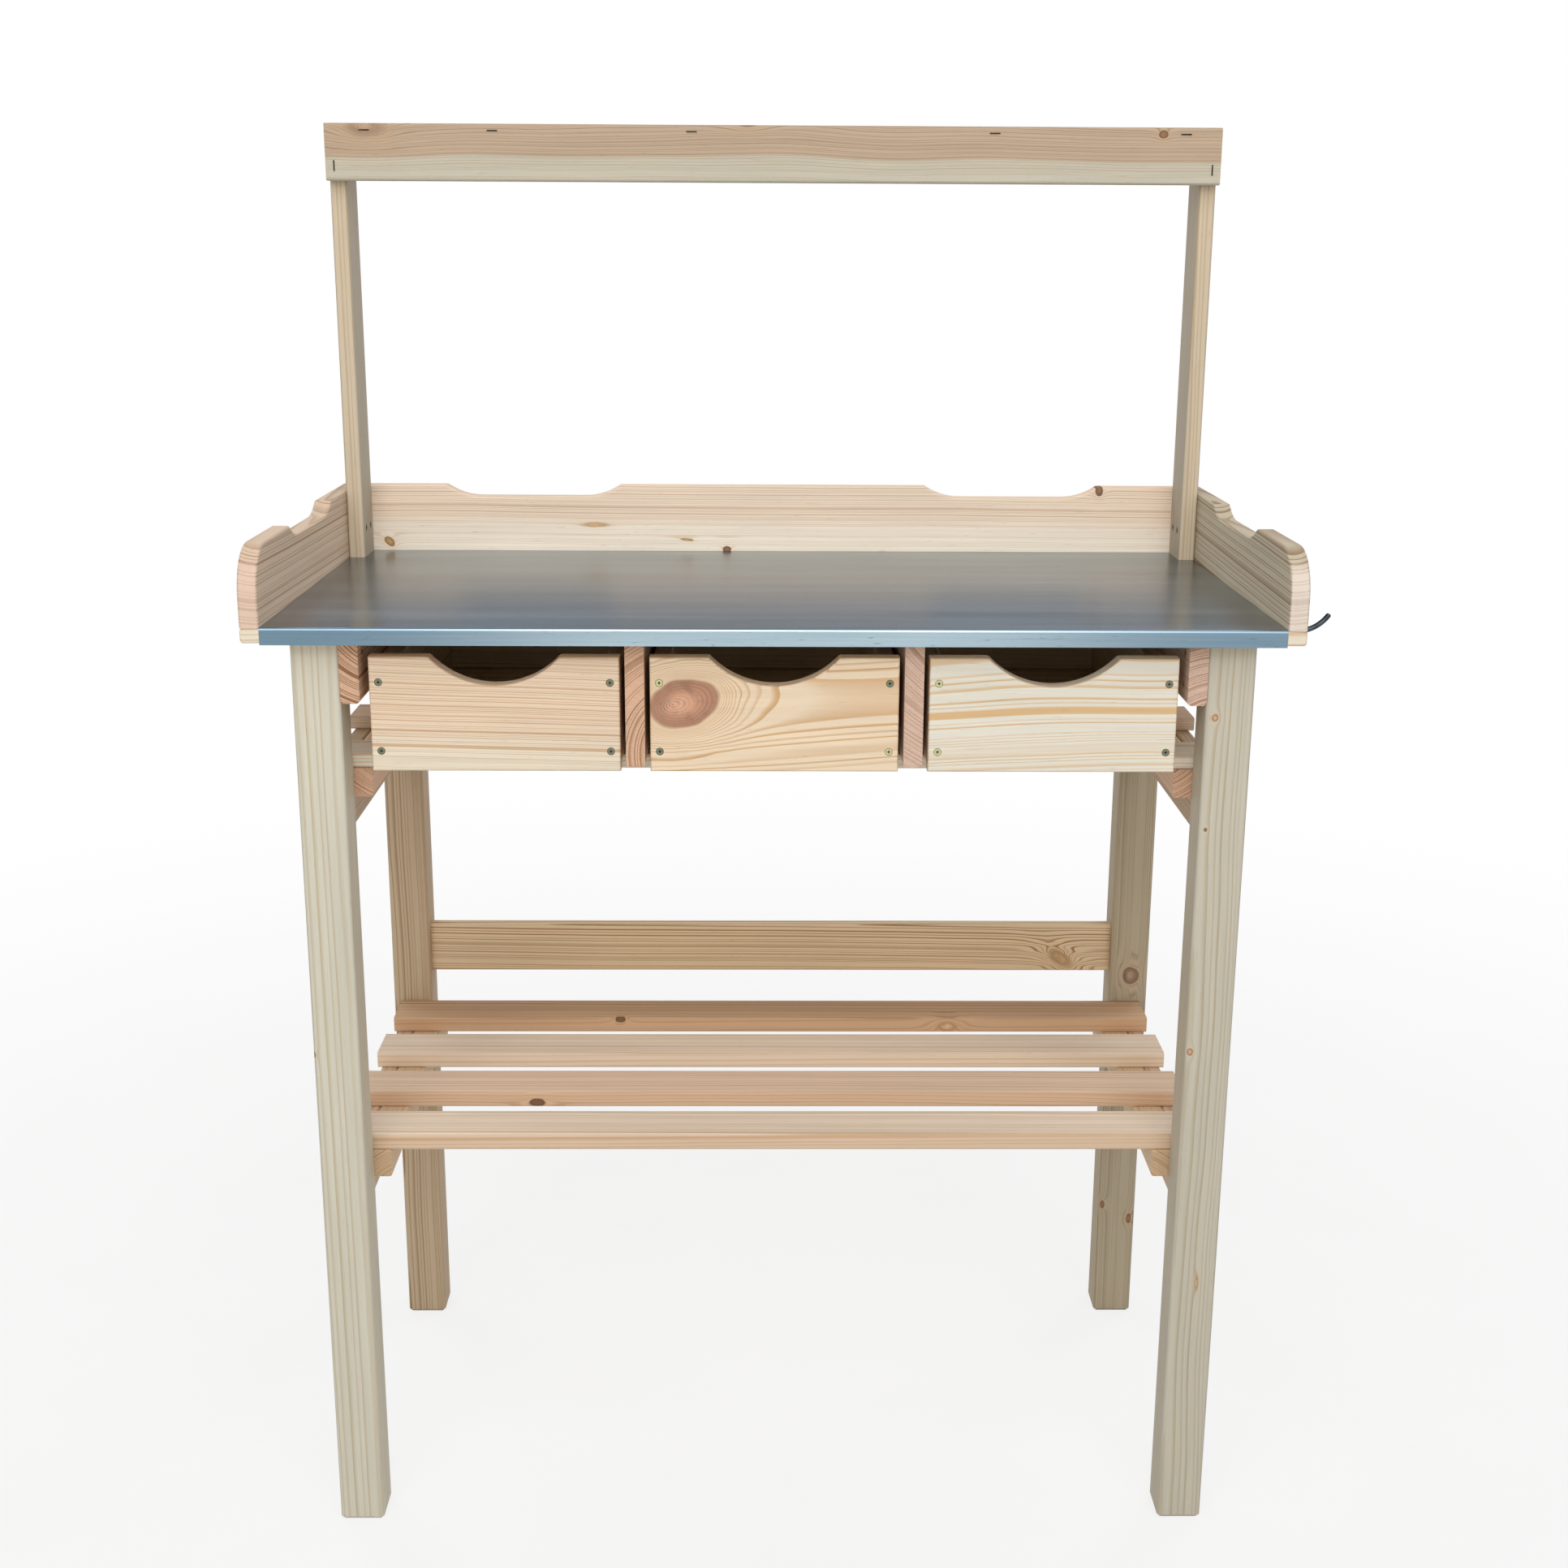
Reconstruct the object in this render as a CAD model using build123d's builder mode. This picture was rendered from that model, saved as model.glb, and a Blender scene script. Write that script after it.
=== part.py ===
"""Potting bench: a softwood stand with a zinc worktop, three drawers, two slatted shelves and a top ledge.

Millimetres, +Z up, origin on the floor under the middle of the worktop, the drawers facing -Y.
"""
import math
import os

from build123d import *

os.makedirs("parts", exist_ok=True)

# Overall size
WIDTH = 980
DEPTH = 495
TOP_Z = 954
LEDGE_Z = 1414
FRONT = -DEPTH / 2
BACK = DEPTH / 2

# Timber sections
LEG = 45
LEG_EASE = 4
FOOT_CHAMFER = 4
PLANK_T = 18
PLANK_W = 58
WIDE_W = 74
THIN_T = 14
EASE = 3
RAIL_H = 62
RAIL_EASE = 4
CLEAT_W = 31
CLEAT_H = 28
POST_W = 56

# Worktop
ZINC_T = 0.8
ZINC_FOLD = 16.2
ZINC_BEND = 2.5
BOARD_TOP = TOP_Z - ZINC_T
BOARD_UNDER = BOARD_TOP - THIN_T
ZINC_W = WIDTH - 2 * PLANK_T
BOARD_NOSE_R = ZINC_BEND - ZINC_T

# Legs
LEG_INSET = 39
LEG_SETBACK = 25
LEG_X = WIDTH / 2 - LEG_INSET - LEG / 2
LEG_INNER_X = LEG_X - LEG / 2
RAIL_INNER_X = LEG_INNER_X - PLANK_T
LEG_FRONT_Y = FRONT + LEG_SETBACK
LEG_Y = {"front": LEG_FRONT_Y + LEG / 2, "back": BACK - LEG / 2}
STRETCHER_START = LEG_Y["front"] + LEG / 2
STRETCHER_END = LEG_Y["back"] - LEG / 2
STRETCHER_LEN = STRETCHER_END - STRETCHER_START
STRETCHER_MID = (STRETCHER_START + STRETCHER_END) / 2
BACK_STRETCHER_Z = 478.5

# Slatted shelves
SLAT_OVERHANG = 3.5
SLAT_LEN = 2 * (LEG_X + PLANK_T / 2 + SLAT_OVERHANG)
SLAT_GAP_TO_LEG = 2.5
DRAWER_FLOOR_Z = 817
LOWER_SHELF_Z = 418
SLAT_TOP = {"drawer": DRAWER_FLOOR_Z, "lower": LOWER_SHELF_Z}
SLAT_T = {"drawer": THIN_T, "lower": PLANK_T}
SLAT_SPACING = {"drawer": 158, "lower": 106}
SLAT_FIRST_Y = STRETCHER_START + SLAT_GAP_TO_LEG + PLANK_W / 2
SLAT_LAST_Y = STRETCHER_END - SLAT_GAP_TO_LEG - PLANK_W / 2
CLEAT_X = LEG_X - PLANK_T / 2 - CLEAT_W / 2
DIVIDER_END = SLAT_LAST_Y + PLANK_W / 2

# Drawers
DIVIDER_GAP = 5
RAIL_GAP = 9
DRAWER_W = (2 * (RAIL_INNER_X - RAIL_GAP - PLANK_T) - 4 * DIVIDER_GAP) / 3
DRAWER_PITCH = DRAWER_W + PLANK_T + 2 * DIVIDER_GAP
DRAWER_LEN = DEPTH - 85
DRAWER_FRONT_H = 109.5
DRAWER_LIP = 4.5
DRAWER_SIDE_H = 92
DRAWER_LIFT = 0.4
DRAWER_INNER_W = DRAWER_W - 2 * PLANK_T
GRIP_W = 122
GRIP_D = 27
GRIP_R = (GRIP_W**2 / 4 + GRIP_D**2) / (2 * GRIP_D)
GRIP_CORNER_R = 5
FRONT_EDGE_R = 2
PANEL_T = 5
PANEL_UP = 6
GROOVE = 5
PANEL_FIT = 0.5
SCREW_FROM_TOP = 24
SCREW_FROM_BOTTOM = 19.5
BACK_SCREW_SPREAD = 44

# Raised boards around the worktop
DIP_DEPTH = 12.5
DIP_TOP_W = 196
DIP_RUN = 19
DIP_BOTTOM_W = DIP_TOP_W - 2 * DIP_RUN
DIP_SLOPE = math.atan2(DIP_DEPTH, DIP_RUN)
DIP_SWEEP = 0.9
DIP_R = DIP_SWEEP * math.hypot(DIP_RUN, DIP_DEPTH) / math.tan(DIP_SLOPE / 2)
CREST_R = 4
BACK_DIP_X = 0.287 * ZINC_W
SIDE_DIP_Y = -3
SIDE_FRONT_R = 45
BOARD_EDGE_R = 2.5

# Top ledge
POST_X = ZINC_W / 2 - PLANK_T / 2
POST_Y = BACK - PLANK_T - POST_W / 2
FASCIA_Y = POST_Y - POST_W / 2 - PLANK_T / 2
FASCIA_FACE_Y = FASCIA_Y - PLANK_T / 2
LEDGE_UNDER = LEDGE_Z - THIN_T

# Fasteners
HEAD_R = 3.75
SHANK_R = 2
TIP_L = 5
SINK_ANGLE = 90
CROSS_L = 3.6
CROSS_W = 0.9
CROSS_D = 1.4
SCREW_L = 40
POST_SCREW_L = 30
POST_SCREW_UP = 31
POST_SCREW_SPREAD = 24
RAIL_SCREW_SPREAD = 30
WORKTOP_SCREW_INSET = 50
DIVIDER_SCREW_INSET = 100
SIDE_SCREW_INSET = 65
BACK_SCREW_INSET = 172
CLEAT_SCREW_INSET = 82.5
DOWEL_D = 8
DOWEL_L = 40
WIDE_DOWEL_SPREAD = 40
BACK_DOWEL_SPREAD = 28
STAPLE_W = 11
STAPLE_L = 30
STAPLE_WIRE_W = 1.3
STAPLE_WIRE_T = 0.7
STAPLE_SPOTS = (-0.911, -0.627, -0.184, 0.492, 0.919)
POST_STAPLE_DROP = 43

# Tool hook
HOOK_D = 5
HOOK_SHANK = 22
HOOK_BEND_R = 35
HOOK_BEND_ANGLE = 58
HOOK_FROM_FRONT = 40
HOOK_TIP_R = 2

SIDES = {"left": -1, "right": 1}
DRAWERS = {"left": -1, "middle": 0, "right": 1}
ALONG_X = {"x_dir": (0, 1, 0), "z_dir": (1, 0, 0)}
ALONG_Y = {"x_dir": (1, 0, 0), "z_dir": (0, -1, 0)}
ALONG_Z = {"x_dir": (1, 0, 0), "z_dir": (0, 0, 1)}


def save(part, name):
    """Label a finished piece and write it under its own name."""
    part.label = name
    export_step(part, f"parts/{name}.step")


def facing(direction, points):
    """Planes at the points, looking out along the direction: a fastener goes in the opposite way."""
    return [Plane(origin=point, z_dir=direction) for point in points]


def bar(name, along, center, section, length, ease=EASE, sinks=(), pilots=(), dowels=(), screw=SCREW_L):
    """A straight timber with eased long edges, drilled for the screws and dowels that meet it."""
    with BuildPart() as piece:
        with BuildSketch(Plane(origin=center, **along)):
            RectangleRounded(*section, ease)
        extrude(amount=length / 2, both=True)
        if sinks:
            with Locations(*sinks):
                CounterSinkHole(SHANK_R, HEAD_R, depth=screw, counter_sink_angle=SINK_ANGLE)
        if pilots:
            with Locations(*pilots):
                Hole(SHANK_R, depth=screw)
        if dowels:
            with Locations(*dowels):
                Hole(DOWEL_D / 2, depth=DOWEL_L / 2)
    save(piece.part, name)


def spread(first, last, count):
    """Evenly spaced values from first to last."""
    return [first + (last - first) * i / (count - 1) for i in range(count)]


def slat_rows(level):
    gaps = round((SLAT_LAST_Y - SLAT_FIRST_Y) / SLAT_SPACING[level])
    return spread(SLAT_FIRST_Y, SLAT_LAST_Y, gaps + 1)


def slat_under(level):
    return SLAT_TOP[level] - SLAT_T[level]


# Fastener places: each plane lies at a screw's head, looking out of the wood
def rail_screws(side, end):
    x = side * RAIL_INNER_X
    rail_mid = BOARD_UNDER - RAIL_H / 2
    return facing((-side, 0, 0), [(x, LEG_Y[end], rail_mid + dz * RAIL_SCREW_SPREAD / 2) for dz in (-1, 1)])


def worktop_rail_screws(side):
    x = side * (LEG_INNER_X - PLANK_T / 2)
    rows = spread(LEG_Y["front"] + WORKTOP_SCREW_INSET, LEG_Y["back"] - WORKTOP_SCREW_INSET, 3)
    return facing((0, 0, 1), [(x, y, BOARD_TOP) for y in rows])


def worktop_divider_screws(side):
    x = side * DRAWER_PITCH / 2
    rows = (LEG_FRONT_Y + DIVIDER_SCREW_INSET, DIVIDER_END - DIVIDER_SCREW_INSET)
    return facing((0, 0, 1), [(x, y, BOARD_TOP) for y in rows])


def side_board_screws(side):
    x = side * (WIDTH - PLANK_T) / 2
    rows = spread(FRONT + SIDE_SCREW_INSET, BACK - SIDE_SCREW_INSET, 3)
    return facing((0, 0, -1), [(x, y, BOARD_UNDER) for y in rows])


def back_board_screws():
    columns = spread(BACK_SCREW_INSET - ZINC_W / 2, ZINC_W / 2 - BACK_SCREW_INSET, 3)
    return facing((0, 0, -1), [(x, BACK - PLANK_T / 2, BOARD_UNDER) for x in columns])


def slat_screws(side, level):
    z = slat_under(level) - CLEAT_H
    return facing((0, 0, -1), [(side * CLEAT_X, y, z) for y in slat_rows(level)])


def cleat_screws(side, level):
    x = side * (CLEAT_X - CLEAT_W / 2)
    z = slat_under(level) - CLEAT_H / 2
    rows = (STRETCHER_START + CLEAT_SCREW_INSET, STRETCHER_END - CLEAT_SCREW_INSET)
    return facing((-side, 0, 0), [(x, y, z) for y in rows])


def divider_screws(side):
    rows = (SLAT_FIRST_Y, SLAT_LAST_Y)
    return facing((0, 0, -1), [(side * DRAWER_PITCH / 2, y, slat_under("drawer")) for y in rows])


def ledge_screws(side):
    return facing((0, 0, 1), [(side * POST_X, POST_Y, LEDGE_Z)])


def post_screws(side):
    x = side * (POST_X - PLANK_T / 2)
    z = TOP_Z + POST_SCREW_UP
    return facing((-side, 0, 0), [(x, POST_Y + dy * POST_SCREW_SPREAD / 2, z) for dy in (-1, 1)])


def stretcher_dowels(side, end, level, toward_leg=False):
    """Dowel planes on the face where a side stretcher meets a leg."""
    y = STRETCHER_START if end == "front" else STRETCHER_END
    out = 1 if end == "front" else -1
    mid = slat_under(level) - WIDE_W / 2
    points = [(side * LEG_X, y, mid + dz * WIDE_DOWEL_SPREAD / 2) for dz in (-1, 1)]
    return facing((0, -out if toward_leg else out, 0), points)


def back_dowels(side, toward_leg=False):
    heights = [BACK_STRETCHER_Z + dz * BACK_DOWEL_SPREAD / 2 for dz in (-1, 1)]
    points = [(side * LEG_INNER_X, LEG_Y["back"], z) for z in heights]
    return facing((side if toward_leg else -side, 0, 0), points)


def screw(length):
    """A countersunk cross-head screw, its head at the origin and its point down."""
    with BuildPart() as body:
        with BuildSketch(Plane.XZ):
            with BuildLine():
                Polyline(
                    (0, 0),
                    (HEAD_R, 0),
                    (SHANK_R, SHANK_R - HEAD_R),
                    (SHANK_R, TIP_L - length),
                    (0, -length),
                    close=True,
                )
            make_face()
        revolve(axis=Axis.Z)
        with BuildSketch(Plane.XY):
            Rectangle(CROSS_L, CROSS_W)
            Rectangle(CROSS_W, CROSS_L)
        extrude(amount=-CROSS_D, mode=Mode.SUBTRACT)
    return body.part


# Legs
for side_name, side in SIDES.items():
    for end in LEG_Y:
        with BuildPart() as leg:
            with BuildSketch(Plane((side * LEG_X, LEG_Y[end], 0))):
                RectangleRounded(LEG, LEG, LEG_EASE)
            extrude(amount=BOARD_UNDER)
            chamfer(leg.faces().sort_by(Axis.Z)[0].edges(), FOOT_CHAMFER)
            with Locations(*stretcher_dowels(side, end, "drawer"), *stretcher_dowels(side, end, "lower")):
                Hole(DOWEL_D / 2, depth=DOWEL_L / 2)
            with Locations(*rail_screws(side, end)):
                Hole(SHANK_R, depth=SCREW_L)
            if end == "back":
                with Locations(*back_dowels(side)):
                    Hole(DOWEL_D / 2, depth=DOWEL_L / 2)
        save(leg.part, f"{end}_leg_{side_name}")

# Side stretchers, cleats and top rails
for side_name, side in SIDES.items():
    for level in SLAT_TOP:
        under = slat_under(level)
        bar(
            f"{level}_side_stretcher_{side_name}",
            ALONG_Y,
            (side * LEG_X, STRETCHER_MID, under - WIDE_W / 2),
            (PLANK_T, WIDE_W),
            STRETCHER_LEN,
            pilots=cleat_screws(side, level),
            dowels=stretcher_dowels(side, "front", level, True) + stretcher_dowels(side, "back", level, True),
        )
        with BuildPart() as cleat:
            with BuildSketch(Plane(origin=(side * CLEAT_X, STRETCHER_MID, under - CLEAT_H / 2), **ALONG_Y)):
                RectangleRounded(CLEAT_W, CLEAT_H, EASE)
            extrude(amount=STRETCHER_LEN / 2, both=True)
            with Locations(*slat_screws(side, level), *cleat_screws(side, level)):
                CounterSinkHole(SHANK_R, HEAD_R, depth=SCREW_L, counter_sink_angle=SINK_ANGLE)
        save(cleat.part, f"{level}_shelf_cleat_{side_name}")
    bar(
        f"top_rail_{side_name}",
        ALONG_Y,
        (side * (RAIL_INNER_X + PLANK_T / 2), (LEG_FRONT_Y + BACK) / 2, BOARD_UNDER - RAIL_H / 2),
        (PLANK_T, RAIL_H),
        BACK - LEG_FRONT_Y,
        ease=RAIL_EASE,
        sinks=rail_screws(side, "front") + rail_screws(side, "back"),
        pilots=worktop_rail_screws(side),
    )

# Back stretcher
bar(
    "back_stretcher",
    ALONG_X,
    (0, LEG_Y["back"], BACK_STRETCHER_Z),
    (PLANK_T, PLANK_W),
    2 * LEG_INNER_X,
    dowels=back_dowels(-1, True) + back_dowels(1, True),
)

# Shelf slats
for level in SLAT_TOP:
    for number, y in enumerate(slat_rows(level), start=1):
        edge_rows = y in (SLAT_FIRST_Y, SLAT_LAST_Y)
        bar(
            f"{level}_shelf_slat_{number}",
            ALONG_X,
            (0, y, SLAT_TOP[level] - SLAT_T[level] / 2),
            (PLANK_W, SLAT_T[level]),
            SLAT_LEN,
            sinks=divider_screws(-1) + divider_screws(1) if level == "drawer" and edge_rows else (),
            pilots=slat_screws(-1, level) + slat_screws(1, level),
        )

# Drawer dividers
for side_name, side in SIDES.items():
    bar(
        f"drawer_divider_{side_name}",
        ALONG_Y,
        (side * DRAWER_PITCH / 2, (LEG_FRONT_Y + DIVIDER_END) / 2, (DRAWER_FLOOR_Z + BOARD_UNDER) / 2),
        (PLANK_T, BOARD_UNDER - DRAWER_FLOOR_Z),
        DIVIDER_END - LEG_FRONT_Y,
        pilots=divider_screws(side) + worktop_divider_screws(side),
    )

# Worktop, with a hole in its right-hand end for the tool hook
hook_face = Plane(
    origin=(WIDTH / 2, FRONT + HOOK_FROM_FRONT, (BOARD_TOP + BOARD_UNDER) / 2),
    x_dir=(0, 1, 0),
    z_dir=(1, 0, 0),
)
with BuildPart() as worktop_board:
    with BuildSketch(Plane(origin=(0, FRONT + ZINC_T, (BOARD_TOP + BOARD_UNDER) / 2), **ALONG_Y)):
        RectangleRounded(WIDTH, THIN_T, EASE)
    extrude(amount=ZINC_T - DEPTH)
    fillet(worktop_board.faces().sort_by(Axis.Y)[0].edges(), BOARD_NOSE_R)
    from_above = [
        plane
        for side in SIDES.values()
        for plane in worktop_rail_screws(side) + worktop_divider_screws(side)
    ]
    from_below = side_board_screws(-1) + side_board_screws(1) + back_board_screws()
    with Locations(*from_above, *from_below):
        CounterSinkHole(SHANK_R, HEAD_R, depth=SCREW_L, counter_sink_angle=SINK_ANGLE)
    with Locations(hook_face):
        Hole(HOOK_D / 2, depth=HOOK_SHANK)
save(worktop_board.part, "worktop_board")

with BuildPart() as zinc_sheet:
    with BuildSketch(Plane(origin=(-ZINC_W / 2, 0, 0), **ALONG_X)) as outline:
        with BuildLine():
            Polyline(
                (FRONT, TOP_Z),
                (BACK, TOP_Z),
                (BACK, BOARD_TOP),
                (FRONT + ZINC_T, BOARD_TOP),
                (FRONT + ZINC_T, TOP_Z - ZINC_FOLD),
                (FRONT, TOP_Z - ZINC_FOLD),
                close=True,
            )
        make_face()
        fillet(outline.vertices().group_by(Axis.X)[0].sort_by(Axis.Y)[-1], ZINC_BEND)
        fillet(outline.vertices().group_by(Axis.X)[1].sort_by(Axis.Y)[-1], BOARD_NOSE_R)
    extrude(amount=ZINC_W)
    with Locations(*back_board_screws()):
        Hole(SHANK_R, depth=SCREW_L)
save(zinc_sheet.part, "zinc_sheet")


def dipped_outline(start, end, foot, height, dips):
    """Corners of a raised board: a straight foot and a top edge with a shallow dip at each place."""
    corners = [(end, foot), (start, foot), (start, foot + height)]
    for middle in dips:
        corners += [
            (middle - DIP_TOP_W / 2, foot + height),
            (middle - DIP_BOTTOM_W / 2, foot + height - DIP_DEPTH),
            (middle + DIP_BOTTOM_W / 2, foot + height - DIP_DEPTH),
            (middle + DIP_TOP_W / 2, foot + height),
        ]
    return corners + [(end, foot + height)]


def round_dips(sketch, start, end):
    """Long hollow curves into the dips' floors, and small crests where the dips start."""
    fillet(sketch.vertices().group_by(Axis.Y)[1], DIP_R)
    top_corners = sketch.vertices().group_by(Axis.Y)[-1]
    fillet(top_corners.filter_by(lambda v: start + EASE < v.X < end - EASE), CREST_R)


# Raised back board
with BuildPart() as back_board:
    with BuildSketch(Plane(origin=(0, BACK - PLANK_T, 0), **ALONG_Y)) as outline:
        with BuildLine():
            Polyline(
                *dipped_outline(-ZINC_W / 2, ZINC_W / 2, TOP_Z, WIDE_W, (-BACK_DIP_X, BACK_DIP_X)),
                close=True,
            )
        make_face()
        round_dips(outline, -ZINC_W / 2, ZINC_W / 2)
    extrude(amount=-PLANK_T)
    face_edges = back_board.faces().filter_by(Axis.Y).edges()
    raised_edges = face_edges.filter_by(lambda e: e.center().Z > TOP_Z + 1)
    fillet(raised_edges.filter_by(lambda e: abs(e.center().X) < ZINC_W / 2 - 1), BOARD_EDGE_R)
    with Locations(*back_board_screws()):
        Hole(SHANK_R, depth=SCREW_L)
save(back_board.part, "back_board")

# Raised side boards
for side_name, side in SIDES.items():
    with BuildPart() as side_board:
        with BuildSketch(Plane(origin=(side * WIDTH / 2, 0, 0), **ALONG_X)) as outline:
            with BuildLine():
                Polyline(*dipped_outline(FRONT, BACK, BOARD_TOP, WIDE_W, (SIDE_DIP_Y,)), close=True)
            make_face()
            round_dips(outline, FRONT, BACK)
            front_top = outline.vertices().group_by(Axis.X)[0].sort_by(Axis.Y)[-1]
            fillet(front_top, SIDE_FRONT_R)
        extrude(amount=-side * PLANK_T)
        face_edges = side_board.faces().filter_by(Axis.X).edges()
        raised_edges = face_edges.filter_by(lambda e: e.center().Z > BOARD_TOP + 1)
        fillet(raised_edges.filter_by(lambda e: e.center().Y < BACK - 1), BOARD_EDGE_R)
        with Locations(*side_board_screws(side)):
            Hole(SHANK_R, depth=SCREW_L)
        with Locations(*post_screws(side)):
            Hole(SHANK_R, depth=POST_SCREW_L)
    save(side_board.part, f"side_board_{side_name}")

# Staple planes: crowns across the fascia's top edge, and upright ones at the posts
ledge_staples = [
    Plane(origin=(x, FASCIA_FACE_Y, LEDGE_Z - THIN_T / 2), x_dir=(1, 0, 0), z_dir=(0, -1, 0))
    for x in [spot * ZINC_W / 2 for spot in STAPLE_SPOTS]
]
post_staple_z = LEDGE_Z - POST_STAPLE_DROP
post_staples = [
    Plane(origin=(side * POST_X, FASCIA_FACE_Y, post_staple_z), x_dir=(0, 0, 1), z_dir=(0, -1, 0))
    for side in SIDES.values()
]
STAPLE_LEG = (STAPLE_W - STAPLE_WIRE_T) / 2

# Posts
for side_name, side in SIDES.items():
    with BuildPart() as post:
        with BuildSketch(Plane((side * POST_X, POST_Y, TOP_Z))):
            RectangleRounded(PLANK_T, POST_W, EASE)
        extrude(amount=LEDGE_UNDER - TOP_Z)
        with Locations(*post_screws(side)):
            CounterSinkHole(SHANK_R, HEAD_R, depth=POST_SCREW_L, counter_sink_angle=SINK_ANGLE)
        with Locations(*ledge_screws(side)):
            Hole(SHANK_R, depth=SCREW_L)
        with BuildSketch(*post_staples):
            with Locations((-STAPLE_LEG, 0), (STAPLE_LEG, 0)):
                Rectangle(STAPLE_WIRE_T, STAPLE_WIRE_W)
        extrude(amount=-STAPLE_L, mode=Mode.SUBTRACT)
    save(post.part, f"ledge_post_{side_name}")

# Top ledge
with BuildPart() as fascia:
    with BuildSketch(Plane(origin=(0, FASCIA_Y, LEDGE_Z - PLANK_W / 2), **ALONG_X)):
        RectangleRounded(PLANK_T, PLANK_W, EASE)
    extrude(amount=ZINC_W / 2, both=True)
    with BuildSketch(*ledge_staples, *post_staples):
        with Locations((-STAPLE_LEG, 0), (STAPLE_LEG, 0)):
            Rectangle(STAPLE_WIRE_T, STAPLE_WIRE_W)
    extrude(amount=-STAPLE_L, mode=Mode.SUBTRACT)
save(fascia.part, "ledge_fascia")

with BuildPart() as ledge_board:
    with BuildSketch(Plane.XY.offset(LEDGE_UNDER)):
        with Locations((0, BACK - WIDE_W / 2)):
            Rectangle(ZINC_W, WIDE_W)
    extrude(amount=THIN_T)
    with Locations(*ledge_screws(-1), *ledge_screws(1)):
        CounterSinkHole(SHANK_R, HEAD_R, depth=SCREW_L, counter_sink_angle=SINK_ANGLE)
    with BuildSketch(*ledge_staples):
        with Locations((-STAPLE_LEG, 0), (STAPLE_LEG, 0)):
            Rectangle(STAPLE_WIRE_T, STAPLE_WIRE_W)
    extrude(amount=-STAPLE_L, mode=Mode.SUBTRACT)
save(ledge_board.part, "ledge_board")

with BuildPart() as ledge_staple_set:
    with BuildSketch(*ledge_staples, *post_staples):
        with Locations((-STAPLE_LEG, 0), (STAPLE_LEG, 0)):
            Rectangle(STAPLE_WIRE_T, STAPLE_WIRE_W)
    extrude(amount=-STAPLE_L)
    with BuildSketch(*ledge_staples, *post_staples):
        Rectangle(STAPLE_W, STAPLE_WIRE_W)
    extrude(amount=STAPLE_WIRE_T)
save(ledge_staple_set.part, "ledge_staples")

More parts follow.
